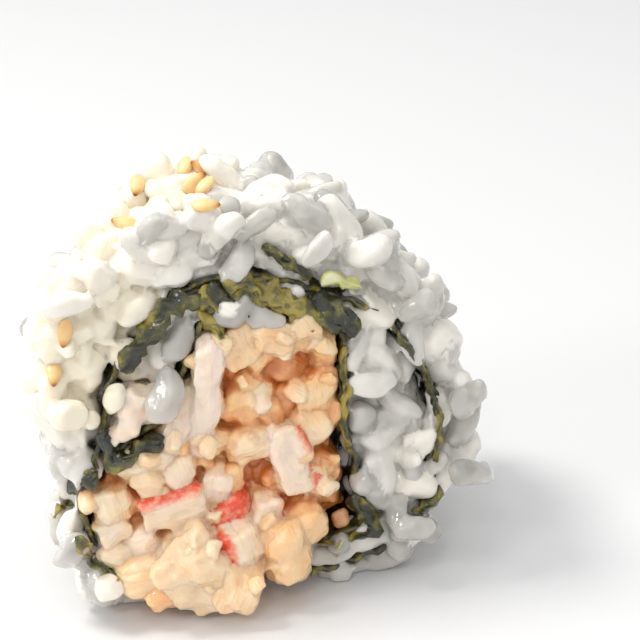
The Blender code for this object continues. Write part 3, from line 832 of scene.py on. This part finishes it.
# %% Crab chunks
# x, z, width, height, turn in degrees, how far it stands out, roundness, tone, and where its skin is
CHUNKS = [
    (-1.8, 30.2, 4.8, 5.0, 20, 1.2, 0.6, 0.4, ""), (2.4, 30.8, 5.0, 4.2, -8, 1.5, 0.6, 0.4, ""),
    (5.4, 31.4, 3.6, 3.6, 30, 1.0, 0.6, 0.36, ""), (8.0, 29.0, 3.0, 4.6, 0, 0.3, 0.6, 0.36, ""),
    (0.2, 28.2, 3.2, 2.6, 40, 0.6, 0.6, 0.5, ""),
    (-5.6, 24.6, 3.4, 14.6, -6, 1.2, 0.5, -0.05, ""), (-9.0, 22.4, 3.2, 8.6, -28, 0.6, 0.5, 0.0, ""),
    (-12.8, 18.4, 6.6, 4.8, 12, 0.5, 0.55, 0.12, ""), (6.9, 23.6, 4.4, 5.0, 4, 0.8, 0.7, 0.38, ""),
    (6.2, 19.8, 4.2, 4.4, 24, 0.6, 0.65, 0.3, ""), (8.6, 21.2, 2.8, 4.0, -20, 0.4, 0.65, 0.45, ""),
    (-1.2, 23.4, 4.4, 4.6, -20, 0.5, 0.65, 0.36, ""), (1.4, 21.8, 3.4, 3.8, 15, 0.1, 0.65, 0.5, ""),
    (-0.8, 18.4, 5.2, 4.0, 26, 0.8, 0.6, 0.26, ""),
    (3.4, 16.4, 4.4, 9.4, 14, 1.5, 0.4, 0.06, "right"), (-10.0, 12.8, 7.6, 4.4, 10, 1.3, 0.3, 0.12, "top"),
    (-5.0, 14.3, 3.0, 4.2, -18, 0.6, 0.45, 0.0, ""), (-3.4, 11.2, 4.4, 2.8, 24, 1.0, 0.4, 0.1, "all"),
    (-12.6, 15.8, 4.2, 3.2, -26, 0.9, 0.6, 0.3, ""), (-9.0, 16.6, 3.4, 3.4, 20, 0.8, 0.6, 0.15, ""),
    (0.4, 10.0, 3.6, 5.2, -10, 0.8, 0.5, 0.04, "right"), (-16.6, 13.4, 4.2, 4.4, 8, 0.8, 0.6, 0.2, ""),
    (-17.0, 10.4, 3.6, 3.4, 30, 0.8, 0.5, 0.12, ""), (-13.6, 8.8, 4.2, 3.2, 16, 1.0, 0.6, 0.06, ""),
    (-16.2, 7.2, 4.0, 3.2, -16, 0.6, 0.6, 0.14, ""), (7.0, 13.6, 5.0, 6.6, -6, -0.3, 0.55, 0.4, ""),
    (4.4, 8.6, 4.8, 4.6, 20, 0.6, 0.7, 0.42, ""), (-6.0, 19.4, 3.8, 4.4, 38, 0.2, 0.5, 0.2, ""),
    (3.4, 26.4, 5.0, 3.4, -30, -0.6, 0.6, 0.5, ""), (-2.2, 28.0, 3.6, 5.0, -24, -0.9, 0.6, 0.55, ""),
    (-3.0, 14.8, 2.6, 3.2, 10, 0.1, 0.6, 0.4, ""), (2.8, 22.8, 3.4, 3.6, 40, -0.6, 0.6, 0.5, ""),
    (-19.0, 14.4, 2.2, 2.0, 0, 0.8, 0.9, 0.3, ""),
]
# x, z, reach in front of the face, width, height, turn, roundness, tone, skin
SPILLED = [
    (-7.9, 6.2, 4.8, 7.2, 9.0, 38, 0.35, 0.3, ""), (-3.3, 3.6, 5.6, 5.2, 5.4, -24, 0.5, 0.35, ""),
    (2.2, 6.2, 4.2, 5.4, 7.2, 10, 0.75, 0.45, ""), (-13.4, 5.4, 3.0, 6.4, 4.6, 10, 0.6, 0.4, ""),
    (-3.2, 8.0, 3.8, 4.0, 5.0, 10, 0.5, 0.15, "left"), (4.8, 8.6, 2.2, 5.0, 3.6, 24, 0.7, 0.45, ""),
    (-11.4, 3.4, 3.6, 4.6, 3.6, 14, 0.6, 0.5, ""),
]
# How deep a chunk is, how far a spilled one reaches in behind the face, and their tumbles in radians
CHUNK_DEPTH, SPILL_ROOT = 5.6, 3.0
CHUNK_TUMBLE, BACK_TUMBLE, BIT_TUMBLE = 0.14, 0.3, 0.5
# The chunks at the back face are like the front's, stand out less, and about one in four has red skin
BACK_PROUD, BACK_SKINS = 0.5, ("", "", "", "top")
# Torn bits between the chunks: how many are drawn, their spacing, sizes and depths in millimetres
BIT_DRAWS, BIT_SPACING, BIT_SIZES, BIT_SUNK = 400, 2.8, (1.0, 2.6), (0.9, 2.0)
CHUNK_CUTS, BIT_CUTS = 9, 3
CHUNK_TAGS = ("tone", "skin", "across", "along")
CRAB_CLEAR = 0.1


def cut_cube(bm, cuts):
    """A cube whose faces are cut into a grid."""
    bmesh.ops.create_cube(bm, size=1)
    bmesh.ops.subdivide_edges(bm, edges=bm.edges[:], cuts=cuts, use_grid_fill=True)


CHUNK_START = start_mesh("chunk_start", CHUNK_TAGS, lambda bm: cut_cube(bm, CHUNK_CUTS))
BIT_START = start_mesh("bit_start", CHUNK_TAGS, lambda bm: cut_cube(bm, BIT_CUTS))


def add_chunk(bm, rng, centre, size, turn, roundness, tone, skin, start=CHUNK_START):
    """A torn chunk, tagged with its tone, its red skin and its fibres' direction."""
    made = copy_of(bm, start)
    shift = Vector((rng.uniform(0, 90), rng.uniform(0, 90), rng.uniform(0, 90)))
    layers = bm.verts.layers.float
    tone_layer, skin_layer = layers["tone"], layers["skin"]
    across_layer, along_layer = layers["across"], layers["along"]
    upright = size[2] >= size[0]
    for v in made:
        unit = v.co * 2
        rounded = v.co.lerp(v.co.normalized() * 0.56, roundness)
        place = Vector(a * b for a, b in zip(rounded, size))
        way = place.normalized()
        across = place.x if upright else place.z
        lobes = 0.85 * noise.noise(place * 0.34 + shift) + 0.4 * noise.noise(place * 0.8 + shift)
        threads = 0.14 * noise.noise(Vector((across * 2.4, place.y * 2.4, 0.15 * place.length)) + shift)
        place += way * (lobes * min(size) * 0.22 + threads)
        sides = {"top": unit.z, "right": unit.x, "left": -unit.x, "all": 1.0}
        v[tone_layer] = tone
        v[skin_layer] = min(max((sides.get(skin, 0) - 0.5) / 0.4, 0.0), 1.0)
        v[across_layer] = across + shift.x
        v[along_layer] = place.z if upright else place.x
        v.co = centre + turn @ place


def chunk_turn(rng, degrees, tumble):
    """A turn in the cut face's plane, and a random tumble about the other two axes."""
    turn = Matrix.Rotation(math.radians(degrees), 3, "Y")
    for axis in "XZ":
        turn = turn @ Matrix.Rotation(rng.gauss(0, tumble), 3, axis)
    return turn


chunks = tagged(CHUNK_TAGS)
for x, z, width, height, degrees, proud, roundness, shade, skin in CHUNKS:
    centre = Vector((x, face_y(z) + CHUNK_DEPTH / 2 - proud, z))
    turn = chunk_turn(rng, -degrees, CHUNK_TUMBLE)
    add_chunk(chunks, rng, centre, (width, CHUNK_DEPTH, height), turn, roundness, shade, skin)
for x, z, reach, width, height, degrees, roundness, shade, skin in SPILLED:
    depth = reach + SPILL_ROOT
    centre = Vector((x, face_y(z) - reach + depth / 2, z))
    turn = chunk_turn(rng, -degrees, CHUNK_TUMBLE)
    add_chunk(chunks, rng, centre, (width, depth, height), turn, roundness, shade, skin)
for x, z, width, height, degrees, proud, roundness, shade, _ in CHUNKS:
    centre = Vector((x, back_y(z) - CHUNK_DEPTH / 2 + proud * BACK_PROUD, z))
    turn = chunk_turn(rng, degrees, BACK_TUMBLE)
    skin = rng.choice(BACK_SKINS)
    add_chunk(chunks, rng, centre, (width, CHUNK_DEPTH, height), turn, roundness, shade, skin)
slump(chunks)

# %% Torn bits between the chunks
filling_solid = solid_copy("crab_filling")
bits = []
for place, out in area_draws(filling_solid, rng, BIT_DRAWS):
    if any((place - other).length < BIT_SPACING for other in bits):
        continue
    bits.append(place)
    size = Vector(rng.uniform(*BIT_SIZES) for _ in range(3))
    turn = chunk_turn(rng, rng.uniform(0, 180), BIT_TUMBLE)
    centre = place - out * rng.uniform(*BIT_SUNK)
    roundness, shade = rng.uniform(0.4, 0.7), rng.uniform(0.15, 0.5)
    add_chunk(chunks, rng, centre, size, turn, roundness, shade, "", BIT_START)
for v in chunks.verts:
    v.co.z = max(v.co.z, CRAB_CLEAR)
print(len(bits), "bits between", 2 * len(CHUNKS) + len(SPILLED), "chunks")

# %% [markdown]
# ## Dressing
# The creamy dressing joins the chunks and fills the deep hollows between them. So chunks and core are
# fused like the rice, and points that lie deep behind either cut face are painted darker orange-brown:
# this is painted shade for the hollows. The strand in the pocket lies apart and is roughened from its
# own solid.

# %% Crab mass
CRAB_VOXEL, STRAND_VOXEL = 0.25, 0.3
# The depth at which the painted shade of the hollows is at its darkest brown, and how far in front of each
# face it starts
PAINTED_SHADE_DEPTH, PAINTED_SHADE_FRONT, PAINTED_SHADE_BACK = 2.6, 0.6, 0.2
STRAND_TAGS = {"tone": 0.02, "skin": 0.0, "across": 0.0, "along": 0.0, "painted_shade": 0.0}

mass = shrunk(filling_solid, 1.2, 0.3)
join(mass, chunks)
crab = fused("crab_filling_pieces", mass, crab_meat, CRAB_VOXEL, 1, MOST_TRIANGLES)
carry_tags(crab, chunks, CHUNK_TAGS)
roughen(crab, [(2.2, 0.4), (1.0, 0.16), (0.5, 0.07)])
# Painted shade: points deep behind either cut face are tinted towards the dark orange-brown
painted_shade_layer = crab.data.attributes.new("painted_shade", "FLOAT", "POINT")
depths = []
for v in crab.data.vertices:
    y, z = v.co.y / MM, v.co.z / MM
    depths.append(min(y - face_y(z) + PAINTED_SHADE_FRONT, back_y(z) - y + PAINTED_SHADE_BACK))
painted_shade_layer.data.foreach_set("value", [min(max(depth / PAINTED_SHADE_DEPTH, 0.0), 1.0) for depth in depths])
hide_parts("crab_filling")

strand = fused("crab_strand", solid_copy("crab_pocket"), crab_meat, STRAND_VOXEL, 3, MOST_TRIANGLES)
roughen(strand, [(3.0, 1.2), (1.1, 0.4), (0.5, 0.1)])
for name, value in STRAND_TAGS.items():
    layer = strand.data.attributes.new(name, "FLOAT", "POINT")
    layer.data.foreach_set("value", [value] * len(strand.data.vertices))
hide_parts("crab_pocket")
for made in (crab, strand):
    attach(made, "root")

# %% [markdown]
# ## Torn nori over the cut
# The knife drags the wet sheet, so its cut edge lies in crumpled folds over the rice and the crab.
# Each shred is a ribbon laid along a line of the picture, on the finished pieces, folded by noise
# and torn at its edges.

# %% Nori shreds
SHRED_STEP, SHRED_ROWS, SHRED_WALL = 0.4, 8, 0.16
# Each shred has a second one under it: its share of the width, how far it lies lower, its olive share
UNDER_WIDTH, UNDER_LOWER, UNDER_OLIVE = 0.75, 0.3, 0.5
# Each row: width and how far it stands out in millimetres, how thin it is, and its line in pixels
SHREDS = [
    (3.0, 0.5, 0.1, ((122, 372), (134, 352), (150, 335), (163, 312), (182, 300), (205, 296), (228, 292))),
    (3.4, 0.5, 0.45, ((196, 300), (222, 300), (250, 296), (278, 302), (304, 312), (326, 318), (345, 326))),
    (2.6, 0.8, 0.55, ((223, 285), (245, 282), (268, 290), (290, 302), (312, 310))),
    (2.8, 0.6, 0.0, ((310, 300), (322, 304), (334, 312), (346, 322), (352, 338))),
    (1.6, 0.4, 0.3, ((262, 246), (275, 252), (288, 262), (300, 270), (312, 278))),
    (2.4, 0.5, 0.0, ((104, 430), (108, 450), (118, 462), (134, 456), (150, 446), (163, 436))),
    (2.8, 0.5, 0.2, ((96, 470), (84, 482), (72, 492), (66, 505))),
    (1.0, 1.3, 0.7, ((68, 500), (60, 508), (54, 518))),
    (1.8, 0.4, 0.6, ((76, 536), (82, 548), (92, 560), (104, 570), (118, 580))),
    (2.4, 0.4, 0.1, ((352, 494), (358, 505), (368, 515), (374, 528), (366, 536))),
    (1.0, 0.3, 0.3, ((372, 532), (350, 540), (330, 544), (318, 542))),
    (2.0, 0.4, 0.1, ((440, 486), (434, 498), (424, 508), (414, 516))),
    (1.2, 0.4, 0.6, ((345, 345), (342, 368), (346, 392), (342, 420), (350, 447))),
    (1.8, 0.7, 0.9, ((198, 312), (206, 320), (216, 328), (222, 338))),
    (1.0, 0.3, 0.2, ((398, 331), (410, 352), (422, 368), (431, 390), (438, 414))),
    (1.0, 0.3, 0.5, ((434, 400), (440, 418), (437, 440), (436, 462))),
]
# Left of this x, lines of sight meet only the pieces and not the plane of the cut face
FACE_LEFT = -18.5


def finished_surface(made):
    """A finished piece's faces, to cast rays on, in millimetres."""
    bm = bmesh.new()
    bm.from_mesh(made.data)
    bm.transform(Matrix.Scale(1 / MM, 4))
    tree = BVHTree.FromBMesh(bm)
    bm.free()
    return tree


rice_skin = finished_surface(rice)
crab_skin = finished_surface(crab)


def front_place(px, py):
    """Where a line of sight first meets the finished rice, the crab or the plane of the cut face."""
    eye, way = EYE / MM, sight(px, py)
    reach = (FACE_FOOT + FACE_LEAN * eye.z - eye.y) / (way.y - FACE_LEAN * way.z)
    found = [reach] if (eye + way * reach).x > FACE_LEFT else []
    for skin in (rice_skin, crab_skin):
        distance = skin.ray_cast(eye, way)[3]
        if distance is not None:
            found.append(distance)
    return eye + way * min(found, default=reach)


def add_shred(bm, rng, width, proud, olive, pixels):
    """A torn, folded ribbon of nori along a line of the picture."""
    line = smooth_line([front_place(*pixel) for pixel in pixels], SHRED_STEP)
    last = len(line) - 1
    shift = rng.uniform(0, 90)
    before = len(bm.verts)
    bmesh.ops.create_grid(bm, x_segments=last, y_segments=SHRED_ROWS, size=1)
    bm.verts.ensure_lookup_table()
    thin_layer = bm.verts.layers.float["thin"]
    for v in bm.verts[before:]:
        i = round((v.co.x + 1) / 2 * last)
        s = v.co.y
        facing = (EYE / MM - line[i]).normalized()
        side = facing.cross(line[min(i + 1, last)] - line[max(i - 1, 0)]).normalized()
        u = i * SHRED_STEP
        ends = min(1.0, 0.25 + i * 0.3, 0.25 + (last - i) * 0.3)
        torn = 0.8 + 0.9 * noise.noise(Vector((u * 0.9, 4 * (s > 0), shift)))
        fold = 0.9 * noise.noise(Vector((u * 0.5, s * 1.3, shift)))
        fold += 0.4 * math.sin(u * 2.2 + s * 2 + shift)
        sag = 0.5 * s * s
        v[thin_layer] = olive + 0.7 * noise.noise(Vector((u * 0.4, s, shift + 9))) + 0.25 * abs(s)
        aside = s * width / 2 * torn * ends + 0.3 * fold
        v.co = line[i] + side * aside + facing * (proud + 0.7 * fold - sag)


shred_bm = tagged(NORI_TAGS)
for width, proud, olive, pixels in SHREDS:
    add_shred(shred_bm, rng, width, proud, olive, pixels)
    add_shred(shred_bm, rng, width * UNDER_WIDTH, proud - UNDER_LOWER, olive * UNDER_OLIVE, pixels)
shreds = piece("nori_shreds", shred_bm, nori_skin)
add_steps(shreds, [("SOLIDIFY", {"thickness": SHRED_WALL * MM})])
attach(shreds, "root")
print("shred faces:", len(shreds.data.polygons))

# %% [markdown]
# ## Green flakes
# A curled flake of spring onion skin lies on the rice and a sliver of it by the foot. Onion skin is
# thin and lets light through, so it is pale yellow-green with a wet coat.

# %% Green flakes
# Rows as the shreds' own
FLAKES = [
    (2.0, 0.5, 0.4, ((321, 285), (332, 279), (346, 280), (361, 289))),
    (0.6, 0.4, 0.8, ((341, 540), (338, 548), (335, 557))),
]


def make_onion_material():
    made, shader = new_material("spring_onion_skin")
    thin = add(made, "ShaderNodeAttribute", {"attribute_name": "thin"}).outputs["Fac"]
    ramp = add(made, "ShaderNodeValToRGB", links={"Fac": thin})
    set_stops(ramp, [(0.2, "#E4E3B4"), (0.5, "#D3D28A"), (0.9, "#A3A650")])
    feed(made, shader, {"Base Color": ramp.outputs["Color"]})
    set_values(shader, {
        "Roughness": 0.35, "IOR": 1.42, "Subsurface Weight": 0.6, "Subsurface Radius": (0.9, 1.0, 0.4),
        "Subsurface Scale": 0.5 * MM, "Coat Weight": 0.8, "Coat Roughness": 0.08,
    })
    return made


flake_bm = tagged(NORI_TAGS)
for width, proud, olive, pixels in FLAKES:
    add_shred(flake_bm, rng, width, proud, olive, pixels)
flakes = piece("green_flakes", flake_bm, make_onion_material())
add_steps(flakes, [("SOLIDIFY", {"thickness": SHRED_WALL * MM})])
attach(flakes, "root")

# %% [markdown]
# ## Sesame seeds
# Toasted sesame is a flat teardrop about 3.2 mm long, golden with a dark brown tip. Each seed starts as
# a sphere, narrowed towards its tip and flattened, and lies on the finished rice.

# %% Sesame seeds
SEED, SEED_PROUD = (3.2, 1.85, 1.1), 0.35
# Each row: the pixel and the turn in the picture, its tip's way
SEEDS = [
    (185, 170, -100), (201, 168, 160), (194, 182, 40), (205, 189, -115), (137, 187, -100), (125, 225, 165),
    (206, 207, 0), (65, 333, -100), (53, 375, -100),
]
# Seeds on the far side, which the picture doesn't show: a place in millimetres and a turn
FAR_SEEDS = [
    ((-9, 9, 42), 20), ((4, 9, 40), 110), ((13, 9, 36), -40), ((20, 4, 31), 75), ((-4, 9, 37), 160),
]


def make_sesame_material():
    made, shader = new_material("toasted_sesame")
    place = add(made, "ShaderNodeTexCoord").outputs["Object"]
    tip = add(made, "ShaderNodeAttribute", {"attribute_name": "tip"}).outputs["Fac"]
    cloudy = add(made, "ShaderNodeTexNoise", values={"Scale": per_mm(1.0), "Detail": 3.0},
                 links={"Vector": place})
    mixed = add(made, "ShaderNodeMath", {"operation": "MULTIPLY_ADD", "use_clamp": True},
                values={1: 0.3}, links={0: cloudy.outputs["Fac"], 2: tip})
    ramp = add(made, "ShaderNodeValToRGB", links={"Fac": mixed.outputs["Value"]})
    set_stops(ramp, [(0.1, "#F1CF94"), (0.4, "#E2B06A"), (0.75, "#B87836"), (1.0, "#5A2C14")])
    bump = add(made, "ShaderNodeBump", values={"Strength": 0.4, "Distance": 0.1 * MM},
               links={"Height": cloudy.outputs["Fac"]})
    feed(made, shader, {"Base Color": ramp.outputs["Color"], "Normal": bump.outputs["Normal"]})
    set_values(shader, {
        "Roughness": 0.42, "IOR": 1.47, "Subsurface Weight": 0.5, "Subsurface Radius": (1.0, 0.6, 0.3),
        "Subsurface Scale": 0.5 * MM, "Coat Weight": 0.35, "Coat Roughness": 0.2,
    })
    return made


seed_places = []
for px, py, degrees in SEEDS:
    hit, out = seen_at(px, py, rice_skin)
    seed_places.append((hit, (out - sight(px, py) * 0.6).normalized(), picture_way(degrees)))
for place, degrees in FAR_SEEDS:
    hit, out, _, _ = rice_skin.find_nearest(Vector(place))
    way = Vector((math.cos(math.radians(degrees)), math.sin(math.radians(degrees)), 0))
    seed_places.append((hit, out, way))

seed_bm = tagged(("tip",))
tip_layer = seed_bm.verts.layers.float["tip"]
for hit, facing, way in seed_places:
    turn = turned(facing, way)
    for v in bmesh.ops.create_uvsphere(seed_bm, u_segments=10, v_segments=8, radius=1)["verts"]:
        t = v.co.z
        taper = 1 - 0.42 * max(t, -0.2)
        v[tip_layer] = max(0.0, t - 0.55) * 1.9
        flat = Vector((v.co.x * SEED[1] / 2 * taper, v.co.y * SEED[2] / 2, t * SEED[0] / 2))
        v.co = hit + facing * SEED_PROUD + turn @ flat
seeds = piece("sesame_seeds", seed_bm, make_sesame_material())
add_steps(seeds, [ROUNDED])
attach(seeds, "root")
print("sesame seeds:", len(seed_places))

# %% [markdown]
# ## Floor
# A plain pale sheet, far wider than the picture, catches the slice's shadow. It isn't attached to the
# food's body.

# %% Floor
floor_bm = bmesh.new()
bmesh.ops.create_grid(floor_bm, x_segments=1, y_segments=1, size=4000)
floor_paint, floor_shader = new_material("white_table")
set_values(floor_shader, {"Base Color": linear("#DFDFDF"), "Roughness": 0.55})
floor = piece("floor", floor_bm, floor_paint, smooth=False)
